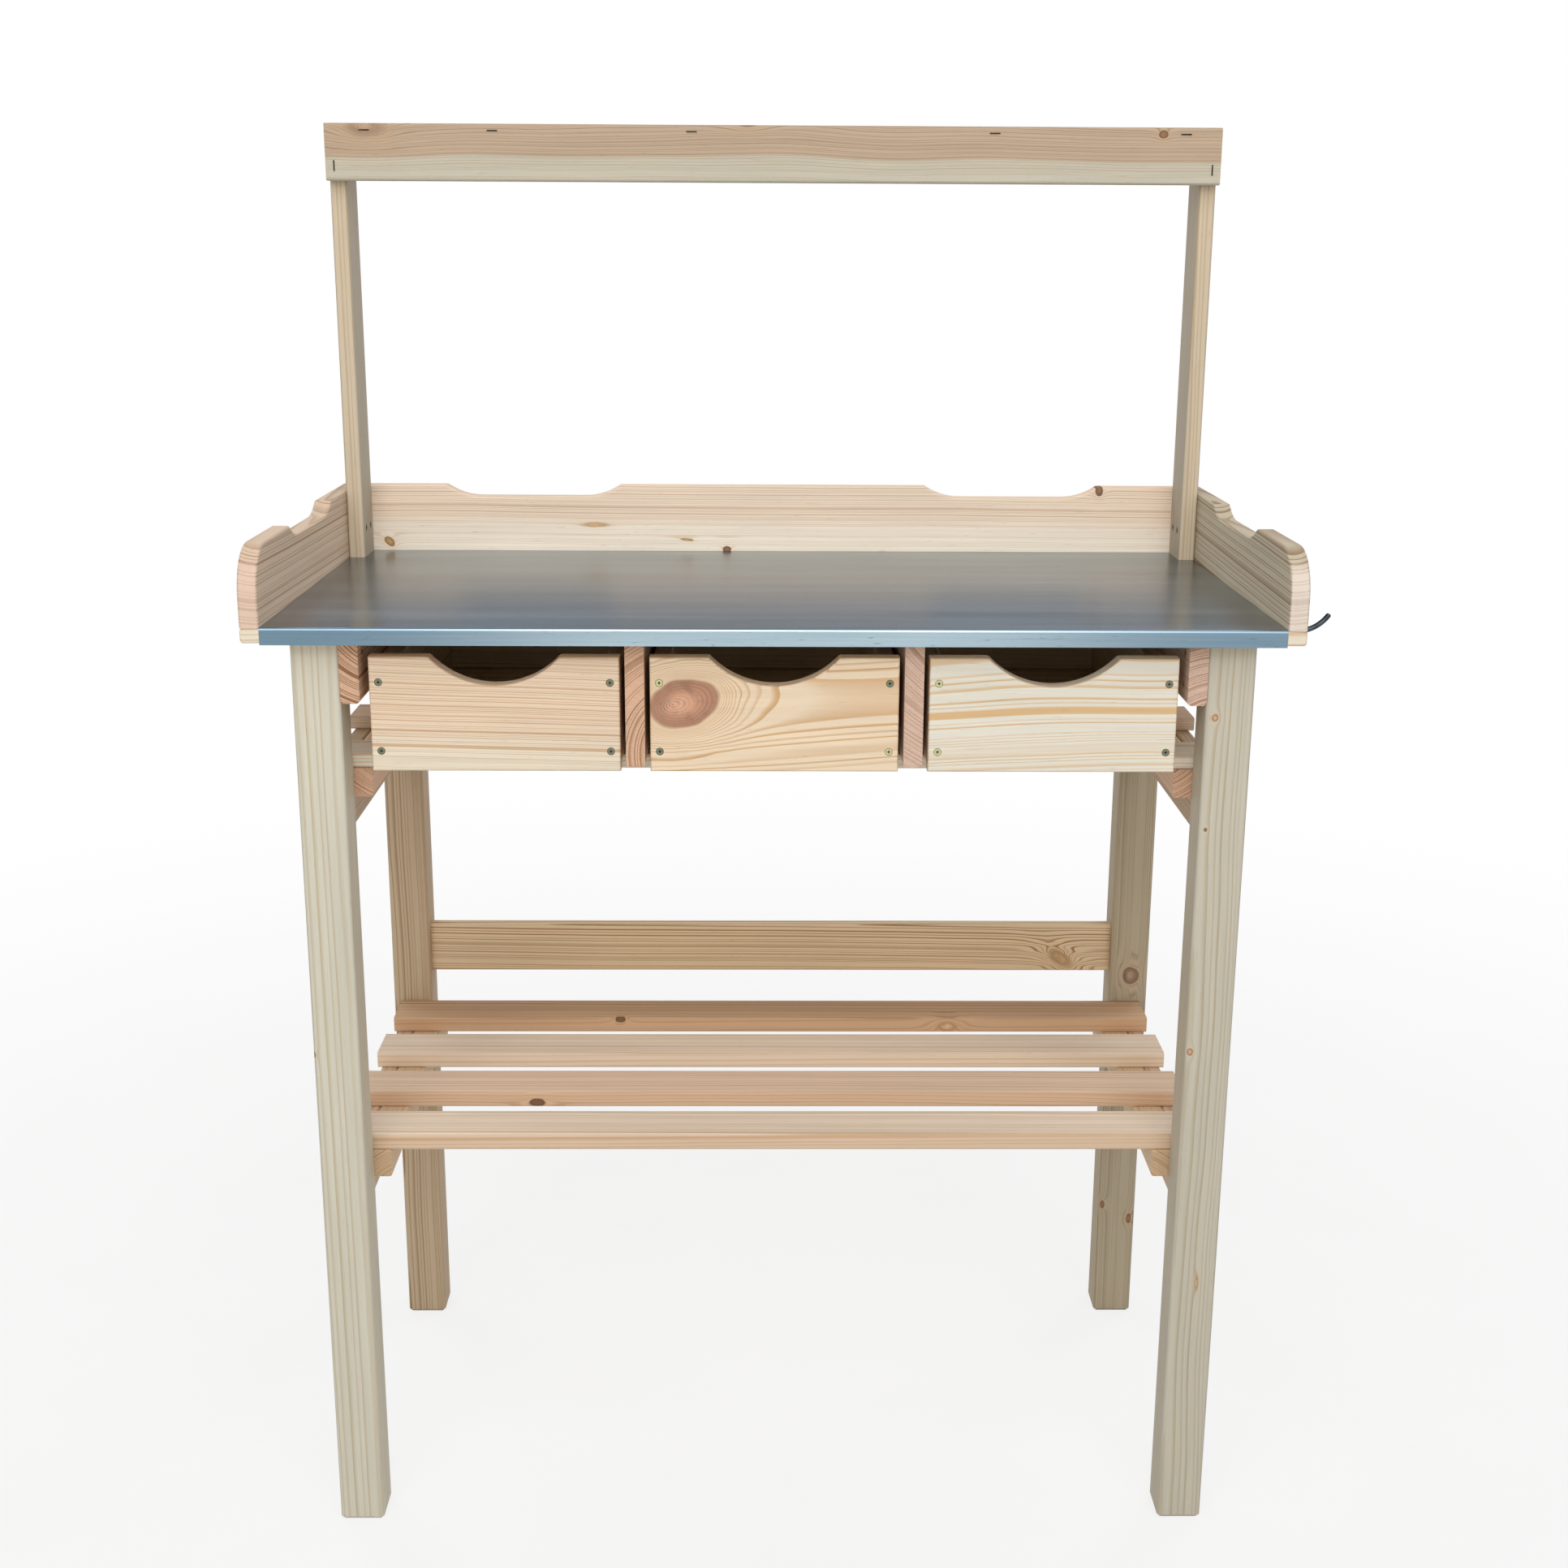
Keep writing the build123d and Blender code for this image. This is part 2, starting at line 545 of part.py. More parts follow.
# Drawers
for drawer_name, place in DRAWERS.items():
    name = f"drawer_{drawer_name}"
    middle = place * DRAWER_PITCH
    front_bottom = DRAWER_FLOOR_Z - DRAWER_LIP
    front_top = front_bottom + DRAWER_FRONT_H
    box_bottom = DRAWER_FLOOR_Z + DRAWER_LIFT
    box_start = LEG_FRONT_Y + PLANK_T
    box_end = LEG_FRONT_Y + DRAWER_LEN
    side_x = DRAWER_W / 2 - PLANK_T / 2
    panel_z = box_bottom + PANEL_UP + PANEL_T / 2
    panel_top = panel_z + PANEL_T / 2
    back_h = box_bottom + DRAWER_SIDE_H - panel_top
    back_z = panel_top + back_h / 2
    heights = (front_top - SCREW_FROM_TOP, front_bottom + SCREW_FROM_BOTTOM)
    front_screws = {
        side: facing((0, -1, 0), [(middle + side * side_x, LEG_FRONT_Y, z) for z in heights])
        for side in SIDES.values()
    }
    back_screws = {
        side: facing(
            (side, 0, 0),
            [
                (middle + side * DRAWER_W / 2, box_end - PLANK_T / 2, back_z + dz * BACK_SCREW_SPREAD / 2)
                for dz in (-1, 1)
            ],
        )
        for side in SIDES.values()
    }
    groove_w = DRAWER_INNER_W + 2 * GROOVE

    with BuildPart() as drawer_front:
        face = Plane(origin=(middle, LEG_FRONT_Y, (front_top + front_bottom) / 2), **ALONG_Y)
        with BuildSketch(face) as outline:
            Rectangle(DRAWER_W, DRAWER_FRONT_H)
            with Locations((0, DRAWER_FRONT_H / 2 - GRIP_D + GRIP_R)):
                Circle(GRIP_R, mode=Mode.SUBTRACT)
            top_corners = outline.vertices().group_by(Axis.Y)[-1].sort_by(Axis.X)
            fillet(top_corners[1:-1], GRIP_CORNER_R)
        extrude(amount=-PLANK_T)
        fillet(drawer_front.faces().sort_by(Axis.Y)[0].edges(), FRONT_EDGE_R)
        with Locations(*front_screws[-1], *front_screws[1]):
            CounterSinkHole(SHANK_R, HEAD_R, depth=SCREW_L, counter_sink_angle=SINK_ANGLE)
        with BuildSketch(Plane(origin=(middle, box_start, panel_z), x_dir=(1, 0, 0), z_dir=(0, 1, 0))):
            Rectangle(groove_w, PANEL_T)
        extrude(amount=-GROOVE, mode=Mode.SUBTRACT)
    save(drawer_front.part, f"{name}_front")

    for side_name, side in SIDES.items():
        with BuildPart() as drawer_side:
            center = (middle + side * side_x, (box_start + box_end) / 2, box_bottom + DRAWER_SIDE_H / 2)
            with BuildSketch(Plane(origin=center, **ALONG_Y)):
                RectangleRounded(PLANK_T, DRAWER_SIDE_H, EASE)
            extrude(amount=(box_end - box_start) / 2, both=True)
            groove_face = (middle + side * DRAWER_INNER_W / 2, (box_start + box_end) / 2, panel_z)
            with BuildSketch(Plane(origin=groove_face, x_dir=(0, 1, 0), z_dir=(-side, 0, 0))):
                Rectangle(box_end - box_start, PANEL_T)
            extrude(amount=-GROOVE, mode=Mode.SUBTRACT)
            with Locations(*front_screws[side]):
                Hole(SHANK_R, depth=SCREW_L)
            with Locations(*back_screws[side]):
                CounterSinkHole(SHANK_R, HEAD_R, depth=SCREW_L, counter_sink_angle=SINK_ANGLE)
        save(drawer_side.part, f"{name}_side_{side_name}")

    bar(
        f"{name}_back",
        ALONG_X,
        (middle, box_end - PLANK_T / 2, back_z),
        (PLANK_T, back_h),
        DRAWER_INNER_W,
        pilots=back_screws[-1] + back_screws[1],
    )

    with BuildPart() as drawer_bottom:
        panel_start = box_start - GROOVE + PANEL_FIT
        with BuildSketch(Plane((middle, (panel_start + box_end) / 2, panel_z - PANEL_T / 2))):
            Rectangle(groove_w - 2 * PANEL_FIT, box_end - panel_start)
        extrude(amount=PANEL_T)
    save(drawer_bottom.part, f"{name}_bottom")

    drawer_screw = screw(SCREW_L)
    with BuildPart() as drawer_screws:
        with Locations(*front_screws[-1], *front_screws[1], *back_screws[-1], *back_screws[1]):
            add(drawer_screw)
    save(drawer_screws.part, f"{name}_screws")

# Frame fasteners
frame_screw = screw(SCREW_L)
frame_places = back_board_screws()
for side in SIDES.values():
    frame_places += rail_screws(side, "front") + rail_screws(side, "back")
    frame_places += worktop_rail_screws(side) + worktop_divider_screws(side)
    frame_places += side_board_screws(side) + divider_screws(side) + ledge_screws(side)
    for level in SLAT_TOP:
        frame_places += slat_screws(side, level) + cleat_screws(side, level)
with BuildPart() as frame_screws:
    with Locations(*frame_places):
        add(frame_screw)
save(frame_screws.part, "frame_screws")

post_screw = screw(POST_SCREW_L)
with BuildPart() as post_screw_set:
    with Locations(*post_screws(-1), *post_screws(1)):
        add(post_screw)
save(post_screw_set.part, "post_screws")

dowel_planes = back_dowels(-1) + back_dowels(1)
for side in SIDES.values():
    for end in LEG_Y:
        for level in SLAT_TOP:
            dowel_planes += stretcher_dowels(side, end, level)
with BuildPart() as frame_dowels:
    with BuildSketch(*dowel_planes):
        Circle(DOWEL_D / 2)
    extrude(amount=DOWEL_L / 2, both=True)
save(frame_dowels.part, "frame_dowels")

# Tool hook
hook_start = hook_face.offset(-HOOK_SHANK)
with BuildPart() as tool_hook:
    with BuildLine(Plane(origin=hook_start.origin, x_dir=(1, 0, 0), z_dir=(0, -1, 0))):
        shank = Line((0, 0), (HOOK_SHANK, 0))
        JernArc(start=shank @ 1, tangent=shank % 1, radius=HOOK_BEND_R, arc_size=HOOK_BEND_ANGLE)
    with BuildSketch(hook_start):
        Circle(HOOK_D / 2)
    sweep()
    fillet(tool_hook.edges().sort_by(Axis.X)[-1], HOOK_TIP_R)
save(tool_hook.part, "tool_hook")
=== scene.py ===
import math
from dataclasses import dataclass

import bpy
from mathutils import Matrix, Vector


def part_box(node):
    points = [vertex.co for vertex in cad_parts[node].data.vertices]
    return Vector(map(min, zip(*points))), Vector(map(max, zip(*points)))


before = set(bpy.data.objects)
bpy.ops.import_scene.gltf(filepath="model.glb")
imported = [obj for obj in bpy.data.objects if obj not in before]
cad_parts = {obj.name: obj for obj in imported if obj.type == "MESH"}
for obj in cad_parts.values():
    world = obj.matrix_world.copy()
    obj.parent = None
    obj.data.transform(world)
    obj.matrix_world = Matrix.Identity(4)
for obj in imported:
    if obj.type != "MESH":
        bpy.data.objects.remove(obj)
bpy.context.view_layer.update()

MM = 0.001
WHITE = (1, 1, 1, 1)

# Camera, fitted to the bench's corners in the photograph; angles in radians
IMAGE_SIDE = 1932
FOCAL_PIXELS = 2493.3
SENSOR = 36
CAMERA_AT = (-0.0124, -2.0736, 1.3017)
CAMERA_PITCH = 0.2644
CAMERA_YAW = 0.0117
CAMERA_ROLL = -0.0051

# Lamps: name, place, the point it looks at, side and power
LAMPS = (
    ("key", (-1.0, -3.2, 1.9), (0, 0, 0.95), 1.8, 20),
    ("fill", (1.0, -3.2, 1.8), (0, 0, 0.95), 1.8, 15.5),
    ("overhead", (0, -2.1, 3.1), (0, 0, 0.95), 2.6, 44),
    ("rear_left", (-2.2, 2.4, 2.8), (0, 0, 0.8), 1.8, 26),
    ("rear_right", (2.2, 2.4, 2.8), (0, 0, 0.8), 1.8, 26),
)

# Surroundings: soft light all round, and the room that metal mirrors, by height above the horizon
AMBIENT = (0.43, 0.43, 0.43 * 1.02, 1)
DIM_WALL = (0.19, 0.26, 0.34, 1)
CEILING = (0.8, 0.81, 0.82, 1)
WALL_RISE = (0.06, 0.2)
CEILING_RISE = (0.2, 0.6)

# Floor: its white takes over between two distances from the bench
FLOOR_SIDE = 24
FLOOR_WHITE = (222, 222, 220)
FLOOR_SHADE = (208, 207, 204)
FLOOR_PITCH = 6.0
FLOOR_DETAIL = 4.0
FLOOR_ROUGHNESS = 0.9
FLOOR_FADE = (0.6, 3.0)
GLOW_NEAR = 0.8
GLOW_GAIN = 0.2

# Order of the axes along, across and deep in the grain, for each way a piece lies
AXES = {"X": (0, 2, 1), "X_flat": (0, 1, 2), "Y": (1, 2, 0), "Z": (2, 0, 1)}


@dataclass
class Waves:
    """Noise drawn out along the grain, in waves per metre along and across it."""
    along: float
    across: float
    detail: float = 2.0
    roughness: float = 0.5


# Growth: the trunk's bends, the unevenness of its rings, and the part of a year that is late wood
BENDS = Waves(2.2, 7)
UNEVEN_PITCH = 0.45
UNEVEN_RINGS = 2.2
LATE_RISE = (0.48, 0.92)
LATE_FALL = (1.0, 0.95)
LEAST_VIGOUR = 0.5
VIGOUR_GAIN = 0.74
SEED_STEP = 7.3
DOWEL_SEED = 1.0

# Wood's surface: how much each kind of noise lightens and darkens it, and where a face counts as
# a cut end or as an edge
FIBRES = Waves(14, 850, roughness=0.6)
FIBRE_SHADE = 0.16
STREAKS = Waves(5, 120, roughness=0.55)
STREAK_SHADE = 0.18
CLOUDS = Waves(3, 16)
CLOUD_SHADE = 0.14
CANALS = Waves(55, 620)
CANAL_RISE = (0.66, 0.76)
CANAL_SHARE = 0.22
CANAL_COLOR = (150, 112, 76)
PORES = Waves(1, 900)
PORE_DARK = (206, 190, 178)
PORE_PALE = (255, 252, 250)
CUT_END_RISE = (0.55, 0.9)
# A piece's own end and edge colours, blended in by END_SHARE and EDGE_SHARE, are partly painted light
# and shade
END_SHARE = 0.55
EDGE_RISE = (0.5, 0.9)
EDGE_SHARE = 0.4
WOOD_ROUGHNESS = 0.62
FIBRE_ROUGHNESS = 0.2
LATE_POLISH = 0.1
LATE_RELIEF = 0.5
WOOD_RELIEF = 0.25 * MM
WOOD_BUMP = 0.5
WOOD_SPECULAR = 0.3

# Knots: pitches are waves in one radius, shades are shares of the knot's own colour
RIM_PITCH = 0.45
RIM_SWING = 0.5
RING_SWING = 0.3
HALO_FADE = 1.5
HALO_COLOR = (214, 170, 120)
LEAST_RINGS = 4
RINGS_PER_MM = 0.22
LINE_RISE = (0.4, 0.75)
LINE_FALL = (1.0, 0.9)
HEART_RISE = (0.15, 0.9)
HEART_SHADE = 1.08
BODY_SHADE = 0.88
PATCH_PITCH = 1.3
PATCH_DETAIL = 3.0
PATCH_ROUGHNESS = 0.6
PATCH_RISE = (0.45, 0.75)
PATCH_SHADE = 0.78
PALE_LINE = (244, 224, 204)
PALE_LINE_FALL = (0.75, 0.2)
PALE_LINE_SHARE = 0.7
DARK_LINE_RISE = (0.3, 0.7)
DARK_LINE_SHARE = 0.5
DARK_LINE_SHADE = 0.7
DEAD_KNOT = (112, 76, 48)
RIM_RISE = (0.72, 1.0)
LEAST_RIM = 0.06
RIM_GAIN = 0.6
RIM_SHADE = 0.5
BORDER_OUTER = 1.12
BORDER_INNER = 0.95
KNOT_SHARE = 0.95
SOFT_LOSS = 0.5

# Steel pieces: node, material, bright and dull colours, roughness, and mottling in waves per metre
STEELS = (
    ("frame_screws", "plated_steel", (214, 210, 172), (92, 94, 82), 0.3, 400),
    ("post_screws", "dark_steel", (92, 84, 76), (58, 52, 48), 0.45, 300),
    ("ledge_staples", "staple_wire", (66, 58, 52), (32, 27, 24), 0.45, 300),
    ("tool_hook", "hook_steel", (88, 95, 100), (50, 56, 61), 0.3, 200),
)
METAL_DETAIL = 3.0
METAL_NOISE = 0.6
METAL_CLOUD_PITCH = 14.0
METAL_RISE = (0.3, 0.7)
METAL_ROUGHNESS_SWING = 0.16
METAL_RELIEF = 0.05 * MM
METAL_BUMP = 0.25

# Zinc: streaks along the sheet, then the fold, with a painted highlight in its middle and
# painted shade at its ends
ZINC_FINE = Waves(6, 420, 3.0, METAL_NOISE)
ZINC_BROAD = Waves(1.4, 22, 2.0, METAL_NOISE)
FINE_SHARE = 0.4
BROAD_SHARE = 0.6
ZINC_RISE = (0.33, 0.67)
ZINC_DARK = (118, 132, 144)
ZINC_PALE = (153, 165, 175)
SCUFFS = Waves(70, 700, 1.0, METAL_NOISE)
SCUFF_RISE = (0.7, 0.78)
SCUFF_SHARE = 0.5
SCUFF_COLOR = (74, 90, 104)
FOLD_RISE = (-0.4, -0.9)
# The fold's front is lightened in its middle by a painted highlight and darkened at its ends by painted
# shade
FOLD_HIGHLIGHT_RISE = (0.46, 0.12)
FOLD_HIGHLIGHT_SHARE = 0.55
FOLD_HIGHLIGHT = (196, 221, 229)
FOLD_SHADE_SHARE = 0.7
FOLD_SHADE = (112, 142, 160)
SMUDGES = Waves(60, 400, 2.0, METAL_NOISE)
SMUDGE_RISE = (0.62, 0.74)
SMUDGE_SHARE = 0.35
SMUDGE_COLOR = (70, 100, 122)
ZINC_ROUGHNESS = 0.25
ZINC_ROUGHNESS_SWING = 0.14
ZINC_RELIEF = 0.03 * MM
ZINC_BUMP = 0.15

# Drawer screws: from the drawer's side to the middle of a head, the head's radius, the painted
# shadow ring as shares of that radius, and the depth at which the cross darkens with painted shade
# and grime
SCREW_INSET = 9 * MM
HEAD_RADIUS = 3.75 * MM
HEAD_SHADOW_RING = (0.7 * HEAD_RADIUS, 0.96 * HEAD_RADIUS)
HEAD_SHADOW_SHARE = 0.8
HEAD_SHADOW_COLOR = (74, 76, 54)
CROSS_RISE = (0.1 * MM, 0.6 * MM)
CROSS_SHADE_AND_GRIME = (44, 42, 34)
# HEAD_BRIGHT is the plated colour lightened by a painted glint, put on some heads only
HEAD_DULL = (128, 132, 112)
HEAD_BRIGHT = (222, 220, 164)
MOTTLE_PITCH = 500.0
MOTTLE_SHARE = 0.4
MOTTLE_COLOR = (120, 116, 92)
HEAD_ROUGHNESS = 0.35
HEAD_ROUGHNESS_SWING = 0.2
HEAD_RELIEF = 0.04 * MM
HEAD_BUMP = 0.2
HEAD_METALLIC = 0.9


def linear(color):
    """A colour of 0 to 255 channels as the shader's linear RGBA."""
    channels = [c / 255 for c in color]
    return (*[c / 12.92 if c <= 0.04045 else ((c + 0.055) / 1.055) ** 2.4 for c in channels], 1)


def shaded(color, share):
    """A colour made lighter or darker by a share."""
    return linear([min(255, channel * share) for channel in color])


def halfway(first, second):
    """The colour halfway between two colours."""
    return linear([(one + other) / 2 for one, other in zip(first, second)])


@dataclass
class Tone:
    """The colours of one kind of board: early and late wood, then the same in the heartwood."""
    early: tuple
    late: tuple
    heart_early: tuple
    heart_late: tuple


@dataclass
class Knot:
    """A knot, placed by shares of the piece's length, width and depth; without a depth it runs
    through. The radius is in mm, and stretch lengthens it along the grain. Pull is the number of
    rings the grain bends round it, decay how fast that fades, heart how far its rings' middle is
    off centre, and soft how blurred its border is."""
    along: float
    across: float
    radius: float
    stretch: float = 1.4
    pull: float = 5
    dark: float = 0.6
    tilt: float = 0
    deep: float = None
    color: tuple = (176, 130, 96)
    heart: float = 0
    soft: float = 0
    decay: float = 1.1


@dataclass
class Board:
    """How one piece was cut: its grain's axis, its tone, the width of a ring, where the tree's pith
    lies across and deep in the piece, and how far the grain wavers, all in mm. The heartwood ends at
    heart_age rings. The cut ends lean to the end colour and the faces across the grain to the edge
    colour, where one is given; these colours are partly the wood's own and partly painted light and
    shade."""
    axis: str
    tone: Tone
    ring: float = 3.6
    pith: tuple = (140, -25)
    slope: float = 0.01
    waver: float = 5
    contrast: float = 0.8
    heart_age: float = 0
    heart_fade: float = 0.6
    knots: tuple = ()
    end: tuple = None
    edge: tuple = None


RED_KNOT = (200, 146, 116)
GOLD_KNOT = (208, 158, 88)
PALE_KNOT = (206, 162, 120)
GREY_KNOT = (160, 131, 108)
HONEY_KNOT = (186, 146, 100)
STAIN = (180, 152, 112)
# The ledge posts' side faces: a greyer tone that is partly painted shade
POST_SIDE_SHADE = (140, 138, 130)
CREAM = Tone((226, 219, 203), (214, 178, 130), (222, 200, 170), (198, 160, 116))
PEACH = Tone((231, 210, 181), (206, 163, 114), (228, 203, 172), (198, 150, 104))
SAND = Tone((228, 216, 194), (206, 176, 140), (228, 205, 178), (200, 160, 124))
LEG = Tone((209, 203, 185), (186, 168, 132), (204, 190, 164), (182, 160, 128))
# LEG_SHADED: a darker copy of LEG for the right front leg, painted shade
LEG_SHADED = Tone((195, 188, 170), (172, 154, 122), (192, 178, 152), (172, 150, 118))
TAN = Tone((198, 176, 146), (150, 118, 82), (184, 158, 126), (148, 118, 86))
OLIVE = Tone((182, 168, 142), (150, 133, 106), (176, 156, 126), (140, 118, 88))
HONEY = Tone((228, 204, 168), (164, 124, 82), (214, 182, 144), (168, 130, 92))
ROSE = Tone((220, 194, 168), (182, 144, 112), (214, 184, 156), (176, 136, 104))
PALE_ROSE = Tone((226, 208, 187), (190, 156, 120), (214, 190, 166), (180, 146, 114))
WHEAT = Tone((198, 184, 158), (142, 112, 80), (212, 196, 170), (150, 116, 84))
RUST = Tone((206, 172, 138), (164, 122, 86), (198, 160, 126), (152, 110, 76))
END_RED = Tone((232, 196, 166), (160, 116, 82), (218, 180, 148), (150, 104, 70))
END_PALE = Tone((228, 202, 184), (186, 152, 128), (220, 194, 174), (178, 144, 120))
POST = Tone((211, 193, 165), (184, 154, 116), (204, 184, 154), (176, 146, 110))
SIDE = Tone((217, 192, 166), (164, 126, 92), (214, 190, 166), (166, 130, 98))
CLEAT = Tone((224, 199, 164), (192, 158, 120), (216, 188, 152), (182, 148, 110))
BOX = Tone((206, 184, 152), (182, 152, 116), (200, 174, 140), (172, 140, 104))
ASH = Tone((198, 190, 170), (184, 166, 138), (190, 167, 141), (162, 132, 102))
BLUSH = Tone((248, 234, 214), (224, 196, 160), (243, 221, 196), (206, 166, 130))


class Tree:
    """Adds nodes to one node tree. A plain number is set on the socket, an output is linked to it."""

    def __init__(self, tree):
        self.tree = tree

    def add(self, kind, **settings):
        node = self.tree.nodes.new(kind)
        for name, value in settings.items():
            setattr(node, name, value)
        return node

    def feed(self, socket, value):
        if isinstance(value, bpy.types.NodeSocket):
            self.tree.links.new(value, socket)
        else:
            socket.default_value = value

    def math(self, operation, *values):
        node = self.add("ShaderNodeMath", operation=operation)
        for socket, value in zip(node.inputs, values):
            self.feed(socket, value)
        return node.outputs[0]

    def plus(self, first, second):
        return self.math("ADD", first, second)

    def minus(self, first, second):
        return self.math("SUBTRACT", first, second)

    def times(self, first, second):
        return self.math("MULTIPLY", first, second)

    def over(self, first, second):
        return self.math("DIVIDE", first, second)

    def times_plus(self, first, second, third):
        return self.math("MULTIPLY_ADD", first, second, third)

    def swing(self, noise, width, middle=0.0):
        """Noise of 0 to 1 made as wide as given, about the middle value."""
        return self.times_plus(noise, width, middle - width / 2)

    def fading(self, reach, rate):
        """1 at the middle, fading away from it."""
        return self.math("EXPONENT", self.times(reach, -rate))

    def step(self, value, low, high):
        """0 below low and 1 above high, smooth between; falls where low is the higher one."""
        node = self.add("ShaderNodeMapRange", interpolation_type="SMOOTHSTEP")
        self.feed(node.inputs["Value"], value)
        self.feed(node.inputs["From Min"], low)
        self.feed(node.inputs["From Max"], high)
        return node.outputs["Result"]

    def vector(self, x, y, z):
        node = self.add("ShaderNodeCombineXYZ")
        for socket, value in zip(node.inputs, (x, y, z)):
            self.feed(socket, value)
        return node.outputs[0]

    def split(self, vector):
        """The three values of a vector."""
        node = self.add("ShaderNodeSeparateXYZ")
        self.feed(node.inputs[0], vector)
        return node.outputs

    def place(self, kind="Object"):
        """Where the shaded point is."""
        return self.add("ShaderNodeTexCoord").outputs[kind]

    def normal(self):
        """The three values of the surface's normal."""
        return self.split(self.add("ShaderNodeNewGeometry").outputs["Normal"])

    def noise(self, point, scale=1.0, detail=2.0, roughness=0.5):
        node = self.add("ShaderNodeTexNoise")
        self.feed(node.inputs["Vector"], point)
        self.feed(node.inputs["Scale"], scale)
        self.feed(node.inputs["Detail"], detail)
        self.feed(node.inputs["Roughness"], roughness)
        return node.outputs[0]

    def drawn_out(self, point, waves, seed=0.0):
        """Noise drawn out along the first of a point's three values."""
        along, across, deep = point
        place = self.vector(self.times_plus(along, waves.along, seed),
                            self.times(across, waves.across), self.times(deep, waves.across))
        return self.noise(place, 1.0, waves.detail, waves.roughness)

    def noise_1d(self, value, scale):
        node = self.add("ShaderNodeTexNoise", noise_dimensions="1D")
        self.feed(node.inputs["W"], value)
        self.feed(node.inputs["Scale"], scale)
        self.feed(node.inputs["Detail"], 0.0)
        return node.outputs[0]

    def white(self, value):
        node = self.add("ShaderNodeTexWhiteNoise", noise_dimensions="1D")
        self.feed(node.inputs["W"], value)
        return node.outputs["Value"]

    def mix(self, share, first, second, blend="MIX"):
        node = self.add("ShaderNodeMix", data_type="RGBA", blend_type=blend)
        self.feed(node.inputs["Factor"], share)
        self.feed(node.inputs["A"], first)
        self.feed(node.inputs["B"], second)
        return node.outputs["Result"]

    def bump(self, height, distance, strength):
        node = self.add("ShaderNodeBump")
        self.feed(node.inputs["Height"], height)
        self.feed(node.inputs["Distance"], distance)
        self.feed(node.inputs["Strength"], strength)
        return node.outputs["Normal"]


def new_material(name):
    """A material with its node tree and its shader."""
    material = bpy.data.materials.new(name)
    material.use_nodes = True
    return material, Tree(material.node_tree), material.node_tree.nodes["Principled BSDF"]


def grain_point(tree, board, low, high):
    """Where a shaded point lies along, across and deep in the grain, from the piece's middle."""
    middle = (low + high) / 2
    place = tree.split(tree.place())
    return [tree.minus(place[axis], middle[axis]) for axis in AXES[board.axis]]


def growth_age(tree, board, point, seed):
    """The number of growth rings from the pith to the point, with the trunk's bends."""
    along, across, deep = point
    pith_across, pith_deep = board.pith
    bend = tree.swing(tree.drawn_out(point, BENDS, seed), 2 * board.waver * MM)
    lean = tree.times_plus(along, board.slope, bend)
    side = tree.plus(tree.minus(across, pith_across * MM), lean)
    back = tree.plus(tree.minus(deep, pith_deep * MM), bend)
    squares = tree.plus(tree.times(side, side), tree.times(back, back))
    age = tree.over(tree.math("SQRT", squares), board.ring * MM)
    uneven = tree.noise_1d(tree.plus(age, seed), UNEVEN_PITCH)
    return tree.times_plus(uneven, UNEVEN_RINGS, age)


def knot_reach(tree, board, knot, point, size):
    """Distance from a knot's middle and its ring there, both 1 at the rim. The rings close in on a
    heart that can lie off the middle."""
    along, across, deep = point
    length, width, depth = [size[axis] for axis in AXES[board.axis]]
    radius = knot.radius * MM
    ragged = tree.noise(tree.vector(*point), RIM_PITCH / radius)
    beside = tree.minus(along, (knot.along - 0.5) * length)
    above = tree.minus(across, (knot.across - 0.5) * width)
    above = tree.times_plus(beside, knot.tilt, above)
    beside = tree.over(beside, radius * knot.stretch)
    above = tree.over(above, radius)
    squares = tree.plus(tree.times(beside, beside), tree.times(above, above))
    if knot.deep is not None:
        below = tree.over(tree.minus(deep, (knot.deep - 0.5) * depth), radius)
        squares = tree.times_plus(below, below, squares)
    reach = tree.plus(tree.math("SQRT", squares), tree.swing(ragged, RIM_SWING))
    if knot.heart == 0:
        return reach, reach
    shift = tree.minus(beside, knot.heart)
    skew = tree.times(shift, knot.heart)
    span = 1 - knot.heart ** 2
    far = tree.times_plus(above, above, tree.times(shift, shift))
    root = tree.math("SQRT", tree.times_plus(skew, skew, tree.times(far, span)))
    ring = tree.over(tree.plus(skew, root), span)
    return reach, tree.plus(ring, tree.swing(ragged, RING_SWING))


